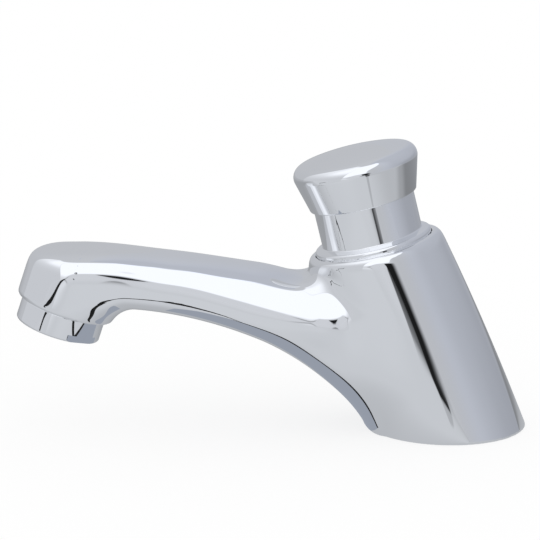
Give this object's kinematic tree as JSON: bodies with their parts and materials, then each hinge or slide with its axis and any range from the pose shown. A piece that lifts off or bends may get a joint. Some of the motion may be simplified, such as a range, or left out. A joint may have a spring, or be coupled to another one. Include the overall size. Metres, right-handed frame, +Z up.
{
  "type": "push timed tap",
  "caption": "Chrome self-closing basin tap with a slanted body, a long spout with an aerator, and a push cap that opens a timed valve.",
  "frame": {"origin": "centre of the round foot on the deck plane, on the shank's axis", "axes": "+Z up from the deck, -X along the spout, Y across the mirror plane"},
  "size_m": [0.1673, 0.0534, 0.1461],
  "materials": {
    "chrome": "polished chrome plate on brass",
    "brass": "turned brass",
    "steel": "stainless steel",
    "rubber": "black rubber",
    "white_plastic": "white acetal",
    "grey_plastic": "grey acetal"
  },
  "bodies": {
    "tap": {"tap_body": "chrome", "return_spring": "steel", "bonnet": "chrome", "stem_bush": "brass", "stem_o_ring": "rubber", "bonnet_seal": "rubber", "cartridge_barrel": "white_plastic", "barrel_o_ring": "rubber", "barrel_gasket": "rubber", "valve_seat": "steel", "aerator_housing": "chrome", "aerator_core": "white_plastic", "aerator_screen": "steel", "aerator_washer": "rubber", "inlet_shank": "brass", "shank_seal": "rubber", "flow_regulator": "grey_plastic", "regulator_ring": "rubber", "inlet_strainer": "steel", "base_gasket": "rubber", "clamp_gasket": "rubber", "clamp_washer": "steel", "back_nut": "brass"},
    "plunger": {"push_cap": "chrome", "lock_nut": "steel", "push_rod": "steel", "timing_piston": "brass", "piston_seal": "rubber", "piston_clip": "steel", "valve_disc": "rubber", "valve_washer": "steel", "valve_nut": "steel"}
  },
  "joints": [
    {"name": "button_press", "type": "slide", "parent": "tap", "child": "plunger", "axis": [0.2419, 0, -0.9703], "range_m": [0, 0.008], "stiffness_N_per_m": 900, "springref_m": -0.012, "deforming": ["return_spring"]}
  ]
}
